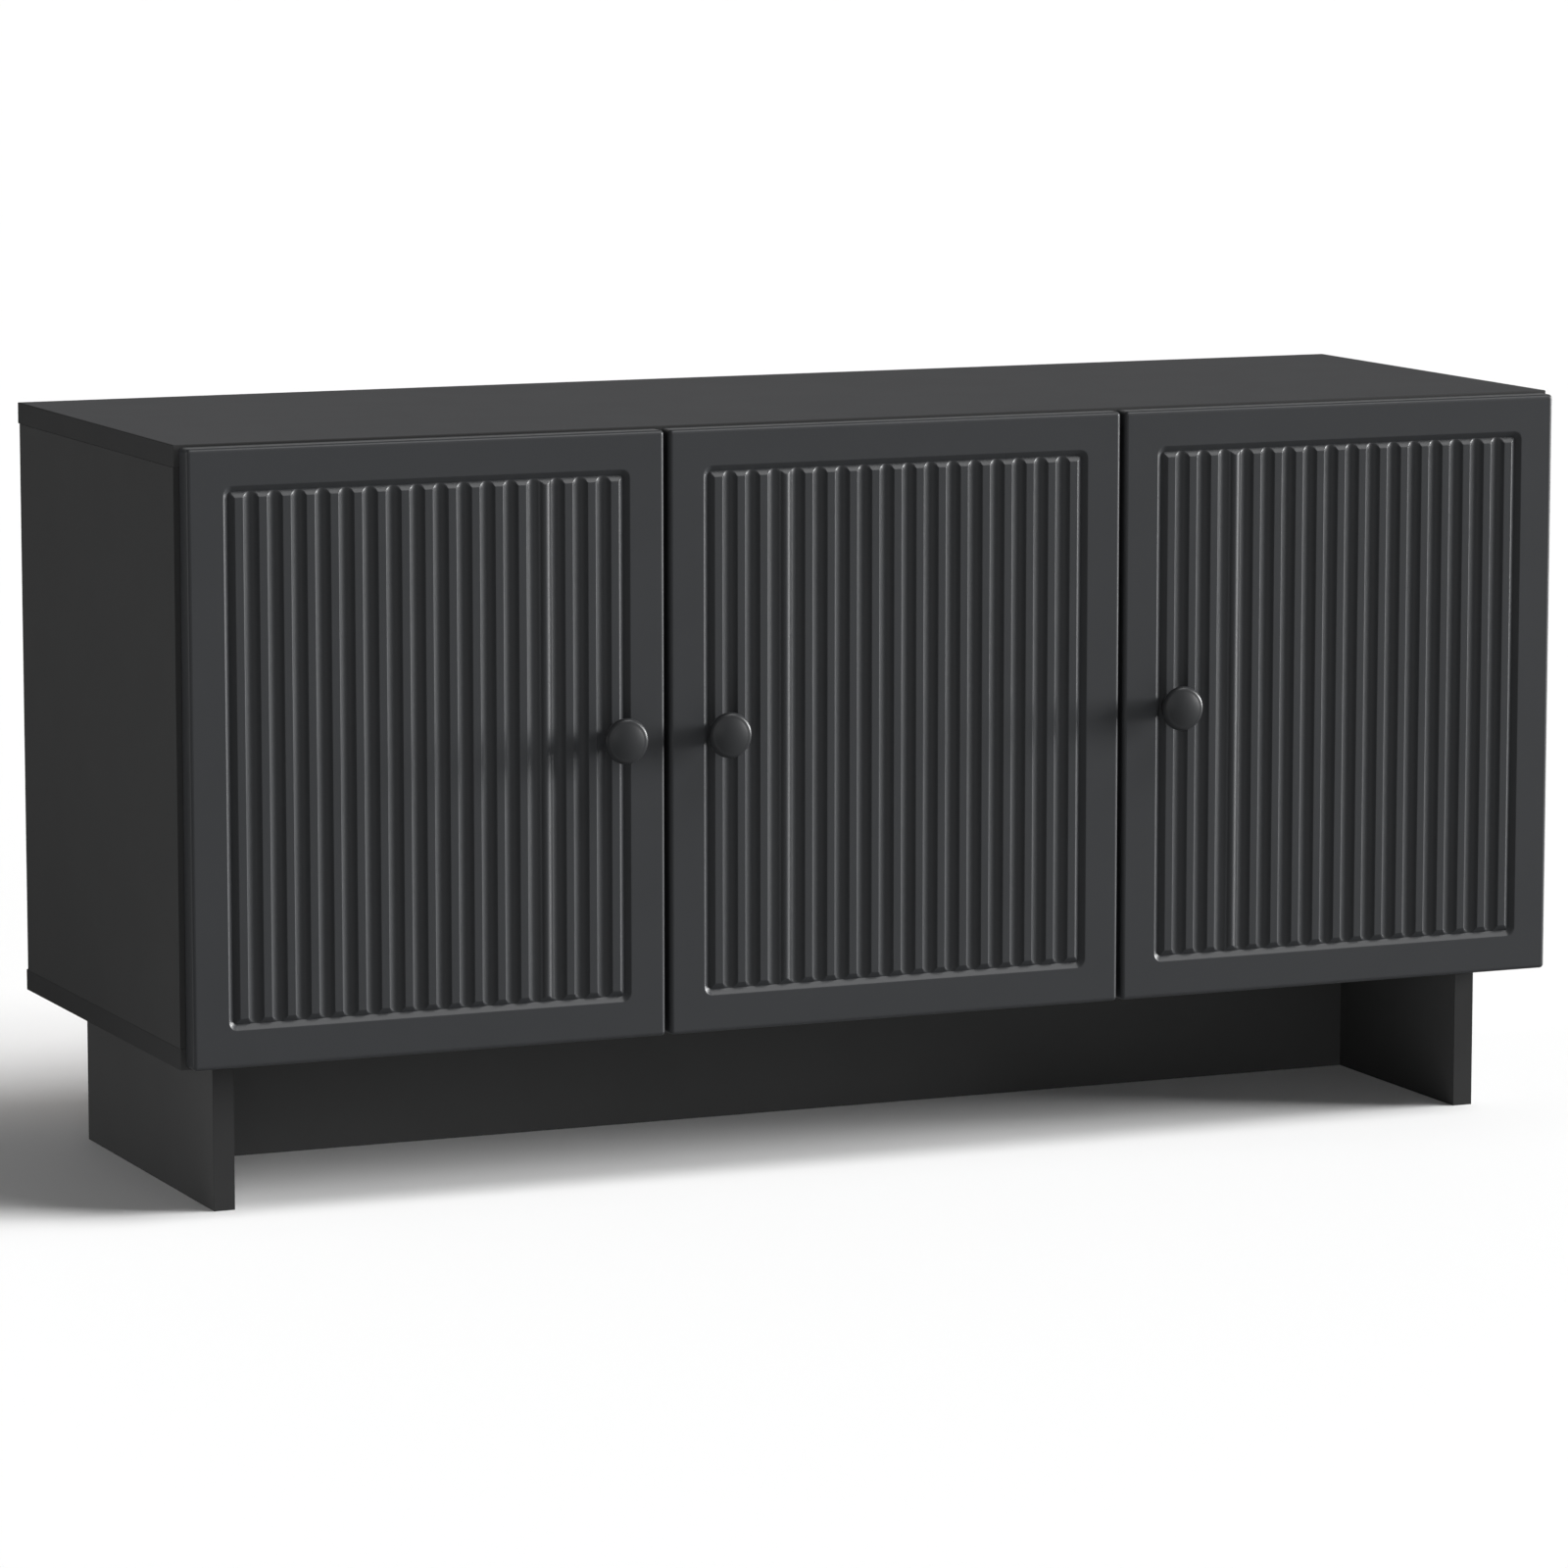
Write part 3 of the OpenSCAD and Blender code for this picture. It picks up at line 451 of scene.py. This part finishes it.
def leaf_front(width, height):
    """The carved front as a grid: places across, places up, and the depth at each crossing.
    Distance to the field's edge, rounded at its corners, sets the V-groove; the flutes start
    at the V's middle, and the deeper of the two cuts wins. One land falls away to both sides
    of its middle as a parabola, down to CREST_LIMIT."""
    columns, flute, pitch = flute_columns(width)
    first_land = FRAME_WIDTH + VEE_WIDTH + LAND_WIDTH / 2
    crest_at = width - first_land - (CREST_LAND - 1) * pitch
    crest = crest_at + np.linspace(-CREST_HALF, CREST_HALF, CREST_LINES)
    vee = vee_lines() + FRAME_WIDTH
    rim = DOOR_ROUND + np.array([0, HOLD])
    across = np.concatenate([rim, vee, columns, crest, width - vee, width - rim])
    order = np.argsort(across)
    uncut_left = np.zeros(len(rim) + len(vee))
    uncut_rest = np.zeros(len(crest) + len(vee) + len(rim))
    depth_across = np.concatenate([uncut_left, flute, uncut_rest])
    across, depth_across = across[order], depth_across[order]
    from_crest = np.abs(across - crest_at)
    cap = np.minimum(CREST_CURVE * from_crest ** 2, CREST_LIMIT)
    crested = np.maximum(depth_across, cap)
    depth_across = np.where(from_crest < CREST_REACH, crested, depth_across)
    field_low = FRAME_WIDTH + VEE_WIDTH
    middle = np.linspace(field_low, height - field_low, LEVELS_UP_FLUTES)[1:-1]
    up = np.sort(np.concatenate([rim, vee, middle, height - vee, height - rim]))
    edge_u = np.minimum(across - FRAME_WIDTH, width - FRAME_WIDTH - across)[:, None]
    edge_v = np.minimum(up - FRAME_WIDTH, height - FRAME_WIDTH - up)[None, :]
    square = np.minimum(edge_u, edge_v)
    rounded = VEE_CORNER - np.hypot(VEE_CORNER - edge_u, VEE_CORNER - edge_v)
    distance = np.where((edge_u < VEE_CORNER) & (edge_v < VEE_CORNER), rounded, square)
    vee_depth = 2 * VEE_DEPTH / VEE_WIDTH * lipped(VEE_WIDTH / 2 - np.abs(distance - VEE_WIDTH / 2))
    fluted = np.where((edge_v >= VEE_WIDTH / 2) & (edge_u >= VEE_WIDTH), depth_across[:, None], 0)
    return across, up, np.maximum(vee_depth, fluted)


def leaf_shell(width, height, thickness):
    """The whole leaf, closed: the carved grid, a rim swept from its border through a quarter
    circle to the back edge, and the back. Where the rim turns a corner, its first row of quads
    shares one point and becomes triangles. Local axes: across, outwards (negative), up."""
    across, up, depth = leaf_front(width, height)
    columns, rows = len(across), len(up)
    grid = np.broadcast_arrays(across[:, None], depth - thickness, up[None, :])
    front = np.stack(grid, -1).reshape(-1, 3)
    index = np.arange(columns * rows).reshape(columns, rows)
    corners = [index[:-1, :-1], index[1:, :-1], index[1:, 1:], index[:-1, 1:]]
    quads = np.stack(corners, -1).reshape(-1, 4)
    fan = np.linspace(0, np.pi / 2, DOOR_ROUND_STEPS + 1)
    sides = [index[:, 0], index[-1, :], index[::-1, -1], index[0, ::-1]]
    border, angle = [], []
    for k, side in enumerate(sides):
        facing = -np.pi / 2 + k * np.pi / 2
        border += [side, np.full(DOOR_ROUND_STEPS - 1, side[-1])]
        angle += [np.full(len(side), facing), facing + fan[1:-1]]
    border, angle = np.concatenate(border), np.concatenate(angle)
    bend = fan[1:]
    back_out = [DOOR_ROUND, DOOR_ROUND, DOOR_ROUND - DOOR_BACK_EASE]
    back_level = [DOOR_ROUND + HOLD - thickness, -DOOR_BACK_EASE, 0]
    out = np.concatenate([DOOR_ROUND * np.sin(bend), back_out])
    level = np.concatenate([DOOR_ROUND * (1 - np.cos(bend)) - thickness, back_level])
    base = front[border]
    rim = np.zeros((len(out), len(border), 3))
    rim[..., 0] = base[:, 0] + out[:, None] * np.cos(angle)
    rim[..., 2] = base[:, 2] + out[:, None] * np.sin(angle)
    rim[..., 1] = level[:, None]
    rim_index = len(front) + np.arange(len(out) * len(border)).reshape(len(out), len(border))
    ring = np.vstack([border, rim_index])
    after = np.roll(ring, -1, 1)
    walls = np.stack([ring[:-1], ring[1:], after[1:], after[:-1]], -1).reshape(-1, 4)
    faces = [tuple(dict.fromkeys(f)) for f in np.concatenate([quads, walls]).tolist()]
    faces.append(tuple(ring[-1, ::-1].tolist()))
    return np.concatenate([front, rim.reshape(-1, 3)]), faces


def drill(piece, holes):
    """Cuts round pockets from the back: each hole is a place (x, y, z), a radius and a depth.
    The cutter for each is a prism of CUTTER_SIDES sides: two rings of points and two caps."""
    turn = np.linspace(0, 2 * np.pi, CUTTER_SIDES + 1)[:-1]
    points, faces = [], []
    for (x, y, z), radius, depth in holes:
        near = len(points) * CUTTER_SIDES + np.arange(CUTTER_SIDES)
        far = near + CUTTER_SIDES
        ring_x, ring_z = x + radius * np.cos(turn), z + radius * np.sin(turn)
        for end in (y + CUTTER_OVERSHOOT, y - depth):
            points.append(np.stack([ring_x, np.full(CUTTER_SIDES, end), ring_z], -1))
        wall = np.stack([near, np.roll(near, -1), np.roll(far, -1), far], -1)
        faces += [tuple(f) for f in wall.tolist()]
        faces += [tuple(near[::-1].tolist()), tuple(far.tolist())]
    cutter = new_piece("cutter", np.concatenate(points), faces, [])
    cut = piece.modifiers.new("pockets", "BOOLEAN")
    cut.operation = "DIFFERENCE"
    cut.solver = "MANIFOLD"
    cut.object = cutter
    bpy.context.view_layer.update()
    evaluated = piece.evaluated_get(bpy.context.evaluated_depsgraph_get())
    drilled = bpy.data.meshes.new_from_object(evaluated)
    piece.modifiers.clear()
    piece.data = drilled
    bpy.data.objects.remove(cutter)
    drilled.set_sharp_from_angle(angle=SHARP_EDGE)


# Which way each door runs from its hinges along X
DOORS = {"left": 1, "middle": -1, "right": -1}
door_foil = foil()
for name, away in DOORS.items():
    low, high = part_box(name + "_door")
    width, thickness, height = high - low
    vertices, faces = leaf_shell(width, height, thickness)
    hinge_x = low.x if away > 0 else high.x
    vertices = vertices * (away, 1, 1) + (hinge_x, high.y, low.z)
    if away < 0:
        faces = [f[::-1] for f in faces]
    leaf = new_piece(name + "_door_leaf_carved", vertices, faces, [door_foil])
    weld(leaf)
    cup_x = hinge_x + away * CUP_EDGE
    cup_heights = (low.z + HINGE_INSET, high.z - HINGE_INSET)
    drill(leaf, [((cup_x, high.y, z), CUP_RADIUS, CUP_DEPTH) for z in cup_heights])
    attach(leaf, name + "_door_leaf")
    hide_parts(name + "_door")


# ---- Knobs ---------------------------------------------------------------------------------
# Turned mushroom knobs in satin anthracite lacquer: a short neck flares under a thick round
# disc with a soft rim and a low dome. One machine screw holds each from behind the door.
KNOB_LACQUER = (0.0165, 0.0172, 0.0182)
LACQUER_MOTTLE = 0.03
LACQUER_RIPPLE = 0.0005
LACQUER_RELIEF = 0.000003
KNOB_NECK = 0.007
KNOB_RIM = 0.0065
KNOB_DOME = 0.002
KNOB_FLARE = 0.0025
KNOB_SIDES = 96
FLARE_POINTS = 7
RIM_POINTS = 17
DOME_POINTS = 13


def lacquer():
    """Sprayed satin lacquer with the faint ripple that spraying leaves."""
    material, nodes, links, shader = new_finish(
        "knob_lacquer", KNOB_LACQUER, roughness=0.34, specular=0.16)
    add_grain(nodes, links, shader, KNOB_LACQUER, LACQUER_MOTTLE, LACQUER_RIPPLE, LACQUER_RELIEF)
    return material


def knob_profile(radius, length):
    """Half section from the door outwards as (radius, distance): neck, flare, underside, a half
    round rim, then the dome's arc to the axis."""
    rim = KNOB_RIM / 2
    waist = length - KNOB_DOME - KNOB_RIM
    flare = np.linspace(0, np.pi / 2, FLARE_POINTS)
    neck_radius = KNOB_NECK + KNOB_FLARE * (1 - np.cos(flare))
    neck = np.stack([neck_radius, waist - KNOB_FLARE + KNOB_FLARE * np.sin(flare)], -1)
    edge = np.linspace(-np.pi / 2, np.pi / 2, RIM_POINTS)
    round_rim = np.stack([radius - rim + rim * np.cos(edge), waist + rim + rim * np.sin(edge)], -1)
    flat = radius - rim
    ball = (flat ** 2 + KNOB_DOME ** 2) / (2 * KNOB_DOME)
    swing = np.linspace(math.asin(flat / ball), 0, DOME_POINTS)[1:]
    dome = np.stack([ball * np.sin(swing), length - ball + ball * np.cos(swing)], -1)
    return np.concatenate([[(0, 0), (KNOB_NECK, 0)], neck, round_rim, dome])


knob_lacquer = lacquer()
for name in DOORS:
    low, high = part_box(name + "_knob")
    profile = knob_profile((high.x - low.x) / 2, high.y - low.y)
    turn = np.linspace(0, 2 * np.pi, KNOB_SIDES + 1)[:-1]
    x = (low.x + high.x) / 2 + profile[:, :1] * np.cos(turn)
    z = (low.z + high.z) / 2 + profile[:, :1] * np.sin(turn)
    y = np.broadcast_to(high.y - profile[:, 1:], x.shape)
    index = np.arange(x.size).reshape(x.shape)
    after = np.roll(index, -1, 1)
    skin = np.stack([index[:-1], after[:-1], after[1:], index[1:]], -1).reshape(-1, 4)
    vertices = np.stack([x, y, z], -1).reshape(-1, 3)
    faces = [tuple(f) for f in skin.tolist()]
    knob = new_piece(name + "_knob_turned", vertices, faces, [knob_lacquer])
    weld(knob)
    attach(knob, name + "_door_leaf")
    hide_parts(name + "_knob")


# ---- Hinges and fittings -------------------------------------------------------------------
# Nickel-plated pressed steel hinges, zinc-plated screws, pins, bolts and nails, die-cast cams,
# beech dowels and soft bumper pads, all as the frame holds them.
NICKEL = (0.62, 0.61, 0.58)
ZINC = (0.58, 0.58, 0.57)
ZINC_CASTING = (0.5, 0.5, 0.5)
BEECH = (0.6, 0.4, 0.23)
PAD = (0.72, 0.72, 0.69)
PATCHES_PER_METRE = 260
PATCH_BRIGHTER = 0.06
PATCH_DULLER = 0.08


def plated(name, colour, roughness):
    """Bright plating: a noise a few millimetres across makes it duller and brighter in patches."""
    material, nodes, links, shader = new_finish(name, colour, roughness, metallic=1.0)
    place = nodes.new("ShaderNodeTexCoord").outputs["Object"]
    patches = nodes.new("ShaderNodeTexNoise")
    patches.inputs["Scale"].default_value = PATCHES_PER_METRE
    links.new(place, patches.inputs["Vector"])
    dullness = nodes.new("ShaderNodeMapRange")
    dullness.inputs["To Min"].default_value = roughness - PATCH_BRIGHTER
    dullness.inputs["To Max"].default_value = roughness + PATCH_DULLER
    links.new(patches.outputs["Fac"], dullness.inputs["Value"])
    links.new(dullness.outputs["Result"], shader.inputs["Roughness"])
    return material


def unplated(name, colour, roughness, mottle, grain_size, grain_height):
    """Wood or rubber: a mottled tone with a fine grain."""
    material, nodes, links, shader = new_finish(name, colour, roughness, specular=0.4)
    add_grain(nodes, links, shader, colour, mottle, grain_size, grain_height)
    return material


# Each finish, and how the names of the nodes that take it end
FITTINGS = [
    (plated("nickel_plate", NICKEL, 0.28),
     ("_hinge_cups", "_hinge_links", "_hinge_arms", "_hinge_plates")),
    (plated("zinc_plate", ZINC, 0.33),
     ("_cup_screws", "_plate_screws", "_arm_screws", "_knob_screw",
      "shelf_pins", "back_nails", "cam_bolts")),
    (plated("zinc_casting", ZINC_CASTING, 0.45), ("cam_locks",)),
    (unplated("beech", BEECH, 0.6, 0.15, 0.001, 0.00004), ("dowels",)),
    (unplated("soft_pad", PAD, 0.5, 0.02, 0.001, 0.00001), ("_bumpers",)),
]
for finish, endings in FITTINGS:
    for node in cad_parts:
        if node.endswith(endings):
            repaint(node, finish)
